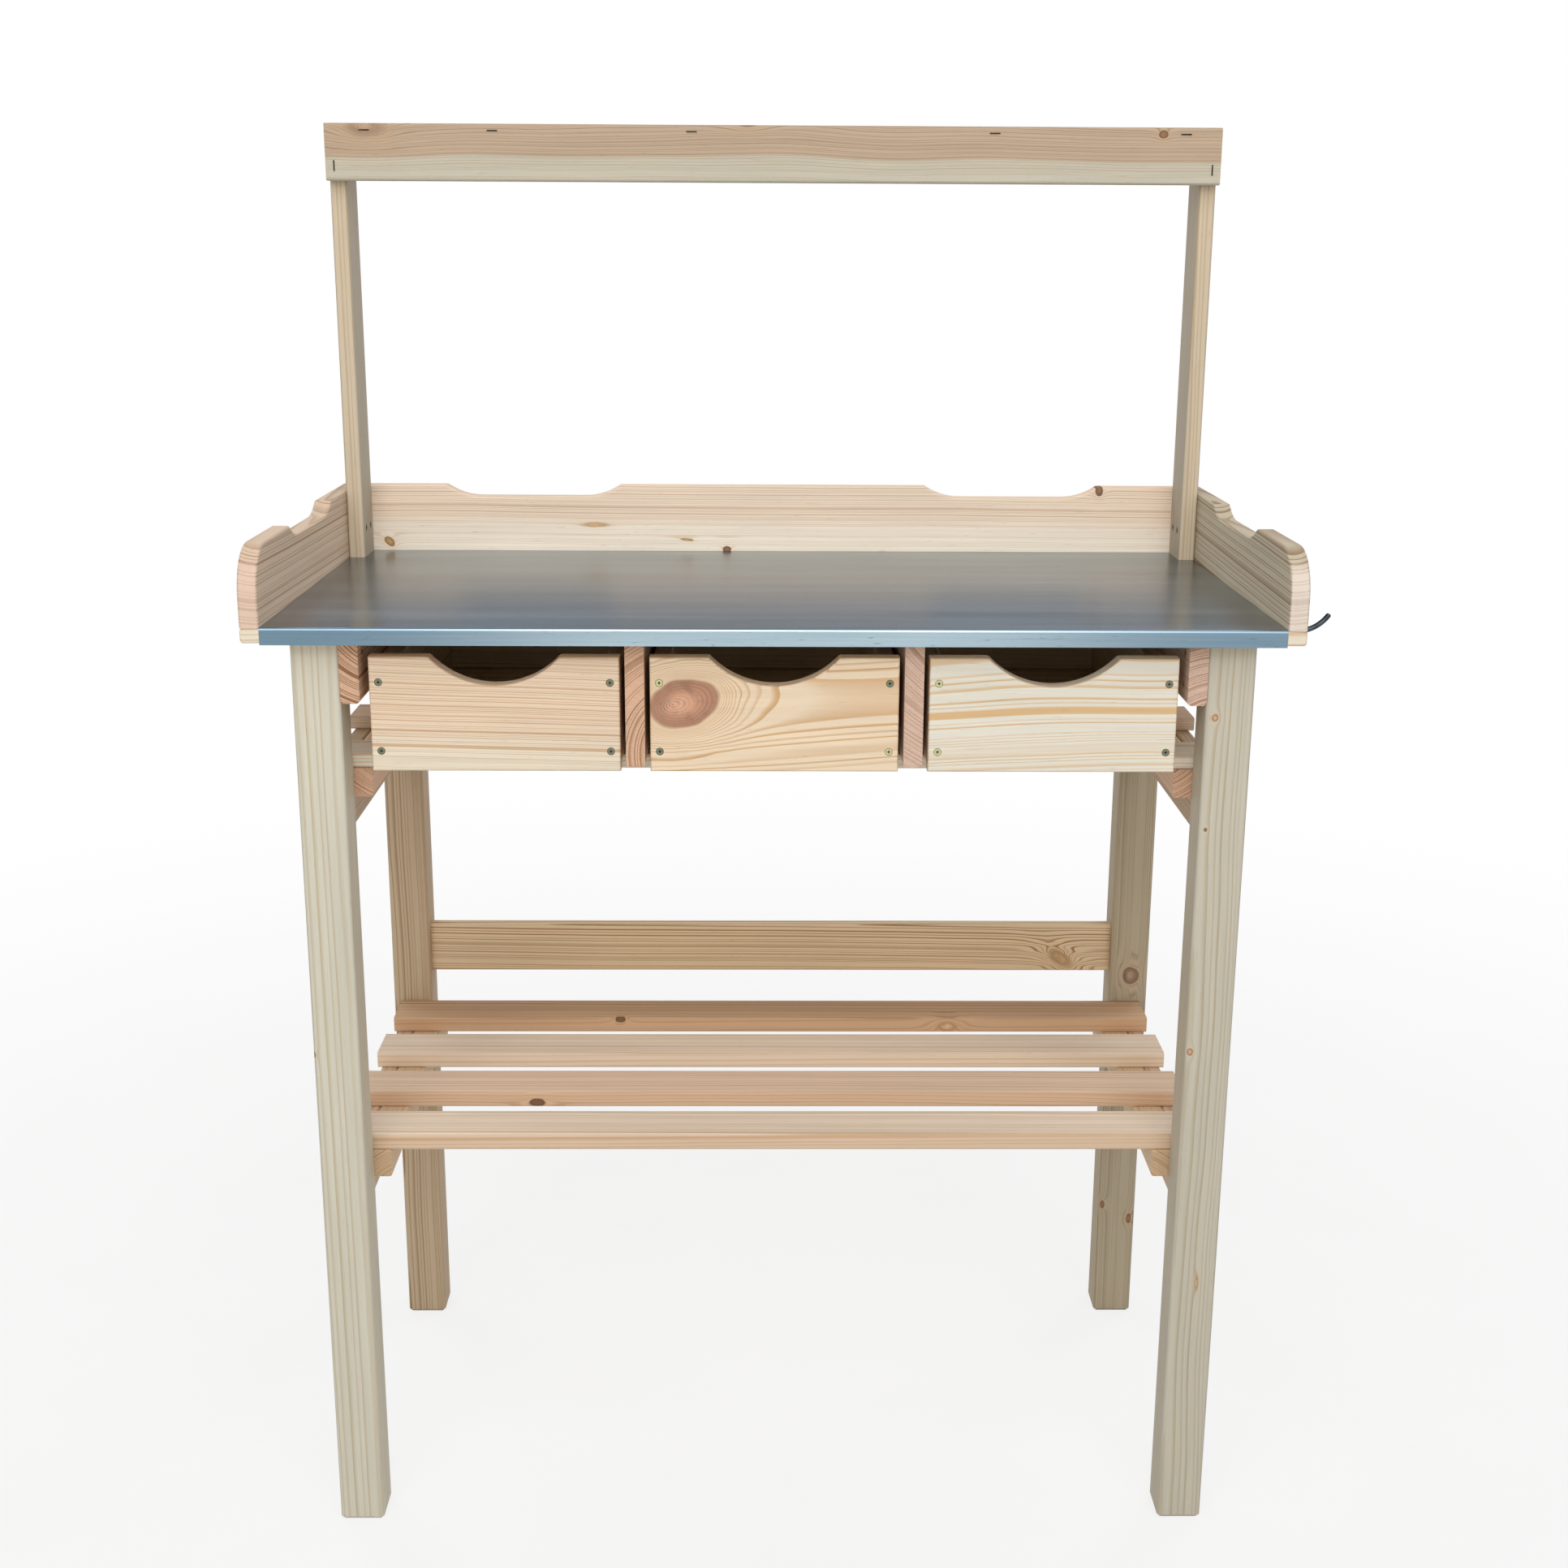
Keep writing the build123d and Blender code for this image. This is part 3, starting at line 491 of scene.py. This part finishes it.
def knot_color(tree, knot, point, reach, ring, wood):
    """The wood's colour with one knot in it: a warm halo, a ringed heart and a dark rim."""
    wood = tree.mix(tree.fading(reach, HALO_FADE), wood, linear(HALO_COLOR))
    heart = tree.mix(tree.step(reach, *HEART_RISE), shaded(knot.color, HEART_SHADE),
                     shaded(knot.color, BODY_SHADE))
    patch = tree.noise(tree.vector(*point), PATCH_PITCH / (knot.radius * MM), PATCH_DETAIL,
                       PATCH_ROUGHNESS)
    heart = tree.mix(tree.step(patch, *PATCH_RISE), heart, shaded(knot.color, PATCH_SHADE))

    year = tree.math("FRACT", tree.times(ring, LEAST_RINGS + RINGS_PER_MM * knot.radius))
    line = tree.times(tree.step(year, *LINE_RISE), tree.step(year, *LINE_FALL))
    pale_line = tree.times(line, tree.step(ring, *PALE_LINE_FALL))
    heart = tree.mix(tree.times(pale_line, PALE_LINE_SHARE), heart, halfway(knot.color, PALE_LINE))
    dark_line = tree.times(line, tree.step(ring, *DARK_LINE_RISE))
    heart = tree.mix(tree.times(dark_line, DARK_LINE_SHARE), heart,
                     shaded(knot.color, DARK_LINE_SHADE))

    heart = tree.mix(knot.dark, heart, linear(DEAD_KNOT))
    rim = tree.times(tree.step(reach, *RIM_RISE), LEAST_RIM + knot.dark * RIM_GAIN)
    heart = tree.mix(rim, heart, shaded(knot.color, RIM_SHADE))
    inside = tree.step(reach, BORDER_OUTER + SOFT_LOSS * knot.soft, BORDER_INNER - knot.soft)
    return tree.mix(tree.times(inside, KNOT_SHARE - SOFT_LOSS * knot.soft), wood, heart)


def late_wood(tree, board, age):
    """How much late wood shows, stronger in some years than in others."""
    year = tree.math("FRACT", age)
    late = tree.times(tree.step(year, *LATE_RISE), tree.step(year, *LATE_FALL))
    vigour = tree.times_plus(tree.white(tree.math("FLOOR", age)), VIGOUR_GAIN, LEAST_VIGOUR)
    return tree.times(late, tree.times(vigour, board.contrast))


def ring_color(tree, board, age, late, cut_end):
    """The colour of the rings, inside and outside the heartwood; cut ends show twice the late wood."""
    tone = board.tone
    heart = tree.step(age, board.heart_age + board.heart_fade, board.heart_age - board.heart_fade)
    early_color = tree.mix(heart, linear(tone.early), linear(tone.heart_early))
    late_color = tree.mix(heart, linear(tone.late), linear(tone.heart_late))
    late_seen = tree.math("MINIMUM", tree.times_plus(cut_end, late, late), 1.0)
    return tree.mix(late_seen, early_color, late_color)


def fibrous(tree, point, fibre, seed, wood):
    """The wood's colour with fibres, streaks and clouds in it, and dark resin canals."""
    streak = tree.drawn_out(point, STREAKS, seed)
    cloud = tree.drawn_out(point, CLOUDS, seed)
    shade = tree.swing(fibre, FIBRE_SHADE, 1)
    shade = tree.times(shade, tree.swing(streak, STREAK_SHADE, 1))
    shade = tree.times(shade, tree.swing(cloud, CLOUD_SHADE, 1))
    wood = tree.mix(1.0, wood, tree.vector(shade, shade, shade), "MULTIPLY")
    canal = tree.step(tree.drawn_out(point, CANALS, seed), *CANAL_RISE)
    return tree.mix(tree.times(canal, CANAL_SHARE), wood, linear(CANAL_COLOR))


def softwood(node, board, seed):
    """Planed, unfinished softwood for one piece, its rings running through the solid."""
    low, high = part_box(node)
    material, tree, shader = new_material("wood_" + node)
    point = grain_point(tree, board, low, high)
    age = growth_age(tree, board, point, seed)
    reaches = [knot_reach(tree, board, knot, point, high - low) for knot in board.knots]
    for knot, (reach, _) in zip(board.knots, reaches):
        age = tree.times_plus(tree.fading(reach, knot.decay), -knot.pull, age)
    late = late_wood(tree, board, age)
    fibre = tree.drawn_out(point, FIBRES, seed)

    normal = tree.normal()
    along_axis, across_axis, _ = AXES[board.axis]
    cut_end = tree.step(tree.math("ABSOLUTE", normal[along_axis]), *CUT_END_RISE)
    wood = ring_color(tree, board, age, late, cut_end)
    wood = fibrous(tree, point, fibre, seed, wood)
    # Faces across the grain lean to the piece's edge colour, which is partly painted shade
    if board.edge is not None:
        edge = tree.step(tree.math("ABSOLUTE", normal[across_axis]), *EDGE_RISE)
        wood = tree.mix(tree.times(edge, EDGE_SHARE), wood, linear(board.edge))
    for knot, (reach, ring) in zip(board.knots, reaches):
        wood = knot_color(tree, knot, point, reach, ring, wood)
    sawn = tree.mix(tree.drawn_out(point, PORES), linear(PORE_DARK), linear(PORE_PALE))
    wood = tree.mix(cut_end, wood, tree.mix(1.0, wood, sawn, "MULTIPLY"))
    # Cut ends lean to the piece's end colour, which is partly painted light
    if board.end is not None:
        wood = tree.mix(tree.times(cut_end, END_SHARE), wood, linear(board.end))
    tree.feed(shader.inputs["Base Color"], wood)

    rough = tree.swing(fibre, FIBRE_ROUGHNESS, WOOD_ROUGHNESS)
    tree.feed(shader.inputs["Roughness"], tree.times_plus(late, -LATE_POLISH, rough))
    relief = tree.times_plus(late, LATE_RELIEF, fibre)
    tree.feed(shader.inputs["Normal"], tree.bump(relief, WOOD_RELIEF, WOOD_BUMP))
    shader.inputs["Specular IOR Level"].default_value = WOOD_SPECULAR
    return material


def metal(name, bright, dull, roughness, pitch):
    """Bare metal, mottled at the given pitch and clouded at a wider one."""
    material, tree, shader = new_material(name)
    place = tree.place()
    mottle = tree.noise(place, pitch, METAL_DETAIL, METAL_NOISE)
    cloud = tree.noise(place, METAL_CLOUD_PITCH, METAL_DETAIL, METAL_NOISE)
    both = tree.times_plus(mottle, 0.5, tree.times(cloud, 0.5))
    color = tree.mix(tree.step(both, *METAL_RISE), linear(dull), linear(bright))
    tree.feed(shader.inputs["Base Color"], color)
    tree.feed(shader.inputs["Roughness"], tree.swing(both, METAL_ROUGHNESS_SWING, roughness))
    tree.feed(shader.inputs["Normal"], tree.bump(both, METAL_RELIEF, METAL_BUMP))
    shader.inputs["Metallic"].default_value = 1.0
    return material


def zinc():
    """Mill-finished zinc: fine streaks along the sheet, slow drifts of tone, a few scuffs, and a
    smudged fold with a painted highlight in its middle and painted shade at its ends."""
    material, tree, shader = new_material("zinc")
    point = tree.split(tree.place())
    fine = tree.drawn_out(point, ZINC_FINE)
    broad = tree.drawn_out(point, ZINC_BROAD)
    drift = tree.times_plus(fine, FINE_SHARE, tree.times(broad, BROAD_SHARE))
    color = tree.mix(tree.step(drift, *ZINC_RISE), linear(ZINC_DARK), linear(ZINC_PALE))
    scuff = tree.step(tree.drawn_out(point, SCUFFS), *SCUFF_RISE)
    color = tree.mix(tree.times(scuff, SCUFF_SHARE), color, linear(SCUFF_COLOR))

    fold = tree.step(tree.normal()["Y"], *FOLD_RISE)
    # Painted highlight in the middle of the fold's front, painted shade towards its ends
    painted_highlight = tree.times(fold, tree.step(tree.math("ABSOLUTE", point["X"]), *FOLD_HIGHLIGHT_RISE))
    painted_shade = tree.minus(fold, painted_highlight)
    color = tree.mix(tree.times(painted_highlight, FOLD_HIGHLIGHT_SHARE), color, linear(FOLD_HIGHLIGHT))
    color = tree.mix(tree.times(painted_shade, FOLD_SHADE_SHARE), color, linear(FOLD_SHADE))
    smudge = tree.times(fold, tree.step(tree.drawn_out(point, SMUDGES), *SMUDGE_RISE))
    color = tree.mix(tree.times(smudge, SMUDGE_SHARE), color, linear(SMUDGE_COLOR))
    tree.feed(shader.inputs["Base Color"], color)
    rough = tree.swing(drift, ZINC_ROUGHNESS_SWING, ZINC_ROUGHNESS)
    tree.feed(shader.inputs["Roughness"], rough)
    tree.feed(shader.inputs["Normal"], tree.bump(fine, ZINC_RELIEF, ZINC_BUMP))
    shader.inputs["Metallic"].default_value = 1.0
    return material


def glinting_heads(tree, which, place, middle):
    """1 on the heads that get a painted glint: the left ones, those on the diagonal that falls to
    the right, or none."""
    right = tree.math("GREATER_THAN", place["X"], middle.x)
    if which == "left":
        return tree.minus(1.0, right)
    if which == "diagonal":
        above = tree.math("GREATER_THAN", place["Z"], middle.z)
        return tree.math("ABSOLUTE", tree.minus(right, above))
    return 0.0


def head_shadow_ring(tree, place, middle, half):
    """1 on the painted shadow ring round each of a drawer's four screw heads."""
    aside = tree.math("ABSOLUTE", tree.minus(place["X"], middle.x))
    aside = tree.minus(aside, half.x - SCREW_INSET)
    upward = tree.math("ABSOLUTE", tree.minus(place["Z"], middle.z))
    upward = tree.minus(upward, half.z - HEAD_RADIUS)
    squares = tree.times_plus(upward, upward, tree.times(aside, aside))
    return tree.step(tree.math("SQRT", squares), *HEAD_SHADOW_RING)


def screw_steel(node, bright):
    """Yellow-plated drawer screws, some lightened by a painted glint, with a painted shadow ring and a
    cross darkened by painted shade and grime.
    """
    material, tree, shader = new_material("plated_" + node)
    low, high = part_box(node)
    middle = (low + high) / 2
    whole_place = tree.place()
    place = tree.split(whole_place)
    mottle = tree.noise(whole_place, MOTTLE_PITCH, METAL_DETAIL, METAL_NOISE)
    # Painted glint on the listed heads
    glint = glinting_heads(tree, bright, place, middle)
    color = tree.mix(glint, linear(HEAD_DULL), linear(HEAD_BRIGHT))
    color = tree.mix(tree.times(mottle, MOTTLE_SHARE), color, linear(MOTTLE_COLOR))
    # Painted shadow ring round each head, standing for the countersink's shade
    ring = head_shadow_ring(tree, place, middle, (high - low) / 2)
    color = tree.mix(tree.times(ring, HEAD_SHADOW_SHARE), color, linear(HEAD_SHADOW_COLOR))
    # The sunk cross is darkened: painted shade and grime
    sunk = tree.step(tree.minus(place["Y"], low.y), *CROSS_RISE)
    color = tree.mix(sunk, color, linear(CROSS_SHADE_AND_GRIME))
    tree.feed(shader.inputs["Base Color"], color)
    rough = tree.swing(mottle, HEAD_ROUGHNESS_SWING, HEAD_ROUGHNESS)
    tree.feed(shader.inputs["Roughness"], rough)
    tree.feed(shader.inputs["Normal"], tree.bump(mottle, HEAD_RELIEF, HEAD_BUMP))
    shader.inputs["Metallic"].default_value = HEAD_METALLIC
    return material


def legs():
    """The four legs: pale ones in front, browner ones behind."""
    left_knots = (
        Knot(0.558, 0.0, 2.5, stretch=1.6, pull=2, deep=0.05),
    )
    right_knots = (
        Knot(0.805, 0.14, 1.6, stretch=1.2, pull=1, deep=0.0),
        Knot(0.562, 0.1, 3, stretch=1.3, pull=2, dark=0.1, deep=0.0, color=PALE_KNOT),
        Knot(0.922, 0.2, 3, stretch=1.2, pull=2, dark=0.1, deep=0.0, color=PALE_KNOT),
        Knot(0.293, 0.57, 2, stretch=4, pull=1, dark=0.0, deep=0.0, color=STAIN, soft=0.5),
    )
    back_right_knots = (
        Knot(0.478, 0.55, 9, stretch=1.2, pull=6, dark=0.1, color=GREY_KNOT),
        Knot(0.137, 0.84, 3, stretch=2.2),
        Knot(0.157, 0.1, 2.5, stretch=2.0),
    )
    front = {"slope": 0.006, "waver": 7, "contrast": 0.62}
    back = {"slope": 0.006, "waver": 4}
    return {
        "front_leg_left": Board("Z", LEG, 4.6, (40, -70), knots=left_knots, **front),
        # The right front leg's darker tone is painted shade
        "front_leg_right": Board("Z", LEG_SHADED, 4.4, (-40, -70), knots=right_knots, **front),
        "back_leg_left": Board("Z", TAN, 3.4, (-30, -40), contrast=0.75, **back),
        "back_leg_right": Board("Z", OLIVE, 3.6, (34, -40), contrast=0.7, knots=back_right_knots,
                                **back),
    }


def frame_boards():
    """Rails, stretchers, cleats and dividers."""
    boards = {}
    for side, lean in (("left", 1), ("right", -1)):
        boards["drawer_side_stretcher_" + side] = Board("Y", TAN, 3.2, (90, lean * 40))
        boards["lower_side_stretcher_" + side] = Board("Y", ROSE, 3.0, (-80, lean * 30))
        boards["drawer_shelf_cleat_" + side] = Board("Y", END_RED, 2.8, (50, lean * 40), contrast=0.5)
        boards["lower_shelf_cleat_" + side] = Board("Y", CLEAT, 2.8, (-50, lean * 40), contrast=0.5)
    straight = {"slope": 0, "waver": 3}
    boards["top_rail_left"] = Board("Y", END_RED, 3.0, (60, 40), contrast=1.0, **straight)
    boards["top_rail_right"] = Board("Y", END_PALE, 3.4, (-70, 20), **straight)
    boards["drawer_divider_left"] = Board("Y", END_RED, 4.2, (-50, 60), contrast=0.45, **straight)
    boards["drawer_divider_right"] = Board("Y", END_PALE, 4.0, (160, 130), contrast=0.4, **straight)
    back_knots = (
        Knot(0.928, 0.28, 9, stretch=1.6, pull=12, dark=0.0, tilt=0.5, color=HONEY_KNOT, soft=0.5),
    )
    boards["back_stretcher"] = Board("X", HONEY, 3.6, (70, -30), waver=4, contrast=1.0,
                                     knots=back_knots)
    return boards


def slats():
    """The shelf slats, no two cut alike."""
    second_knots = (
        Knot(0.215, 0.0, 4.5, stretch=1.8, pull=4, dark=0.95, deep=0.3),
    )
    fourth_knots = (
        Knot(0.3, 0.0, 4, stretch=1.5, pull=4, dark=0.95, deep=0.9),
        Knot(0.734, 0.0, 6, stretch=2.0, pull=6, dark=0.0, deep=0.4, color=PALE_KNOT, soft=0.3),
    )
    return {
        "drawer_shelf_slat_1": Board("X_flat", CREAM, 3.4, (-60, 45)),
        "drawer_shelf_slat_2": Board("X_flat", ROSE, 3.4, (20, 45)),
        "drawer_shelf_slat_3": Board("X_flat", ROSE, 3.4, (60, 45)),
        # The lower slats' front and back faces take edge colours that are partly the wood's own and
        # partly painted shade
        "lower_shelf_slat_1": Board("X_flat", PALE_ROSE, 3.0, (40, -50), slope=0.006, waver=4,
                                    contrast=0.7, edge=(206, 160, 112)),
        "lower_shelf_slat_2": Board("X_flat", ROSE, 3.2, (-70, -40), slope=0.006, waver=4,
                                    knots=second_knots, edge=(204, 156, 112)),
        "lower_shelf_slat_3": Board("X_flat", PALE_ROSE, 3.4, (60, -60), slope=0.004, waver=3,
                                    contrast=0.7, edge=(236, 204, 168)),
        "lower_shelf_slat_4": Board("X_flat", RUST, 3.2, (30, -35), slope=0.006,
                                    knots=fourth_knots, edge=(206, 160, 118)),
    }


def top_boards():
    """The worktop's board and the raised boards round it."""
    back_knots = (
        Knot(0.038, 0.13, 5, stretch=1.1, pull=4, dark=0.25, tilt=0.4, color=GOLD_KNOT),
        Knot(0.445, 0.02, 4, stretch=1.1, pull=3, dark=0.7),
        Knot(0.2865, 0.4, 2.8, stretch=5.5, pull=1.5, dark=0.0, color=GOLD_KNOT, soft=0.5),
        Knot(0.397, 0.172, 1.4, stretch=5.0, pull=1, dark=0.1, tilt=0.1, color=GOLD_KNOT),
        Knot(0.893, 0.95, 6, stretch=0.7, pull=4),
    )
    return {
        "worktop_board": Board("X_flat", SAND, 3.6, (40, -120)),
        "back_board": Board("X", BLUSH, 2.5, (110, 30), slope=0.004, waver=3, heart_age=50.4,
                            heart_fade=2, knots=back_knots),
        # The raised side boards' pale end colours are partly the cut ends' own tone and partly painted
        # light
        "side_board_left": Board("Y", SIDE, 4.2, (75, 8), slope=0.02, waver=4, contrast=0.75,
                                 end=(240, 212, 192)),
        "side_board_right": Board("Y", WHEAT, 4.4, (70, -6), slope=-0.02, waver=4, contrast=0.9,
                                  end=(252, 238, 226)),
    }


def ledge_boards():
    """The ledge, its fascia and its posts."""
    fascia_knots = (
        Knot(0.045, 0.95, 11, stretch=1.8, pull=10, dark=0.0, color=GREY_KNOT, soft=0.5),
        Knot(0.934, 0.88, 4, stretch=1.2, pull=4),
        Knot(0.47, 1.12, 8, stretch=2.0, pull=9, dark=0.0, color=GREY_KNOT),
    )
    # The posts' side faces lean to POST_SIDE_SHADE, which is partly painted shade
    post = {"slope": 0.004, "waver": 3, "contrast": 0.6, "edge": POST_SIDE_SHADE}
    return {
        "ledge_board": Board("X_flat", ASH, 3.4, (20, 40)),
        "ledge_fascia": Board("X", ASH, 2.4, (58, 20), slope=0.003, waver=11, contrast=1.0,
                              heart_age=29.7, knots=fascia_knots),
        "ledge_post_left": Board("Z", POST, 3.6, (20, -45), **post),
        "ledge_post_right": Board("Z", POST, 3.6, (-20, -45), **post),
    }


def drawer_boards():
    """The three drawers: each front is a different cut, the boxes are plain."""
    boards = {}
    for name in ("left", "middle", "right"):
        for part in ("side_left", "side_right"):
            boards[f"drawer_{name}_{part}"] = Board("Y", BOX)
        boards[f"drawer_{name}_back"] = Board("X", BOX)
        boards[f"drawer_{name}_bottom"] = Board("X_flat", BOX, 9, (60, 90))
    middle_knots = (
        Knot(0.135, 0.607, 22, stretch=1.55, pull=70, dark=0.0, tilt=-0.15, color=RED_KNOT,
             heart=-0.3, decay=1.75),
    )
    boards["drawer_left_front"] = Board("X", SAND, 2.6, (190, 60), slope=0.03, waver=3, contrast=1.0,
                                        heart_age=87.6, heart_fade=8)
    boards["drawer_middle_front"] = Board("X", PEACH, 4.6, (12, 55), slope=-0.06, waver=4,
                                          contrast=0.9, knots=middle_knots)
    boards["drawer_right_front"] = Board("X", CREAM, 4.4, (56, 40), slope=-0.03, waver=7,
                                         contrast=0.95)
    return boards


def cover(node, material):
    """Puts one material on a CAD piece."""
    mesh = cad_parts[node].data
    mesh.materials.clear()
    mesh.materials.append(material)


def dress_wood():
    """Gives every wooden piece its own board."""
    boards = {**legs(), **frame_boards(), **slats(), **top_boards(), **ledge_boards(), **drawer_boards()}
    for index, node in enumerate(sorted(boards)):
        cover(node, softwood(node, boards[node], SEED_STEP * (index + 1)))
    cover("frame_dowels", softwood("frame_dowels", Board("Y", TAN), DOWEL_SEED))


def dress_metal():
    """Zinc top, screws, staples and hook."""
    cover("zinc_sheet", zinc())
    # Which of each drawer's heads take the painted glint
    for name, bright in (("left", "none"), ("middle", "diagonal"), ("right", "left")):
        cover(f"drawer_{name}_screws", screw_steel(f"drawer_{name}_screws", bright))
    for node, *steel in STEELS:
        cover(node, metal(*steel))


def seen_background(tree):
    """1 for rays that show the background: straight from the camera, mirrored or passed through."""
    path = tree.add("ShaderNodeLightPath").outputs
    rays = tree.plus(path["Is Camera Ray"], path["Is Glossy Ray"])
    return tree.math("MINIMUM", tree.plus(rays, path["Is Transmission Ray"]), 1.0)


def make_floor():
    """A pale floor that fades to white away from the bench and keeps its shadow near it."""
    half = FLOOR_SIDE / 2
    corners = [(-half, -half, 0), (half, -half, 0), (half, half, 0), (-half, half, 0)]
    mesh = bpy.data.meshes.new("floor")
    mesh.from_pydata(corners, [], [(0, 1, 2, 3)])
    floor = bpy.data.objects.new("floor", mesh)
    bpy.context.scene.collection.objects.link(floor)
    material, tree, shader = new_material("floor_paint")
    place = tree.place()
    grain = tree.noise(place, FLOOR_PITCH, FLOOR_DETAIL)
    color = tree.mix(grain, linear(FLOOR_WHITE), linear(FLOOR_SHADE))
    tree.feed(shader.inputs["Base Color"], color)
    shader.inputs["Roughness"].default_value = FLOOR_ROUGHNESS
    distance = tree.add("ShaderNodeVectorMath", operation="LENGTH")
    tree.feed(distance.inputs[0], place)
    far = tree.step(distance.outputs["Value"], *FLOOR_FADE)
    white = tree.times(tree.times_plus(far, GLOW_GAIN, GLOW_NEAR), seen_background(tree))
    both = tree.add("ShaderNodeMixShader")
    tree.feed(both.inputs[0], white)
    tree.feed(both.inputs[1], shader.outputs[0])
    tree.feed(both.inputs[2], tree.add("ShaderNodeEmission").outputs[0])
    tree.feed(material.node_tree.nodes["Material Output"].inputs["Surface"], both.outputs[0])
    mesh.materials.append(material)


def make_world():
    """Plain soft light, a white backdrop, and for metal to mirror a dim wall below a pale ceiling."""
    world = bpy.data.worlds.new("studio")
    bpy.context.scene.world = world
    world.use_nodes = True
    tree = Tree(world.node_tree)
    height = tree.split(tree.place("Generated"))["Z"]
    wall = tree.mix(tree.step(height, *WALL_RISE), WHITE, DIM_WALL)
    mirrored = tree.mix(tree.step(height, *CEILING_RISE), wall, CEILING)
    camera_ray = tree.add("ShaderNodeLightPath").outputs["Is Camera Ray"]
    backdrop = tree.mix(camera_ray, mirrored, WHITE)
    light = tree.mix(seen_background(tree), AMBIENT, backdrop)
    tree.feed(world.node_tree.nodes["Background"].inputs["Color"], light)


def add_light(name, place, target, side, power):
    """A square soft light that looks at a point."""
    light = bpy.data.lights.new(name, "AREA")
    light.size = side
    light.energy = power
    lamp = bpy.data.objects.new(name, light)
    lamp.location = place
    lamp.rotation_euler = (Vector(target) - Vector(place)).to_track_quat("-Z", "Y").to_euler()
    bpy.context.scene.collection.objects.link(lamp)


def add_camera():
    """The photograph's own viewpoint."""
    camera = bpy.data.objects.new("camera", bpy.data.cameras.new("camera"))
    camera.data.sensor_width = SENSOR
    camera.data.lens = SENSOR * FOCAL_PIXELS / IMAGE_SIDE
    turn = Matrix.Rotation(-CAMERA_YAW, 4, "Z")
    tip = Matrix.Rotation(math.pi / 2 - CAMERA_PITCH, 4, "X")
    roll = Matrix.Rotation(-CAMERA_ROLL, 4, "Z")
    camera.matrix_world = Matrix.Translation(CAMERA_AT) @ turn @ tip @ roll
    bpy.context.scene.collection.objects.link(camera)
    bpy.context.scene.camera = camera


dress_wood()
dress_metal()
make_floor()
make_world()
for lamp in LAMPS:
    add_light(*lamp)
add_camera()
bpy.context.scene.view_settings.view_transform = "Standard"
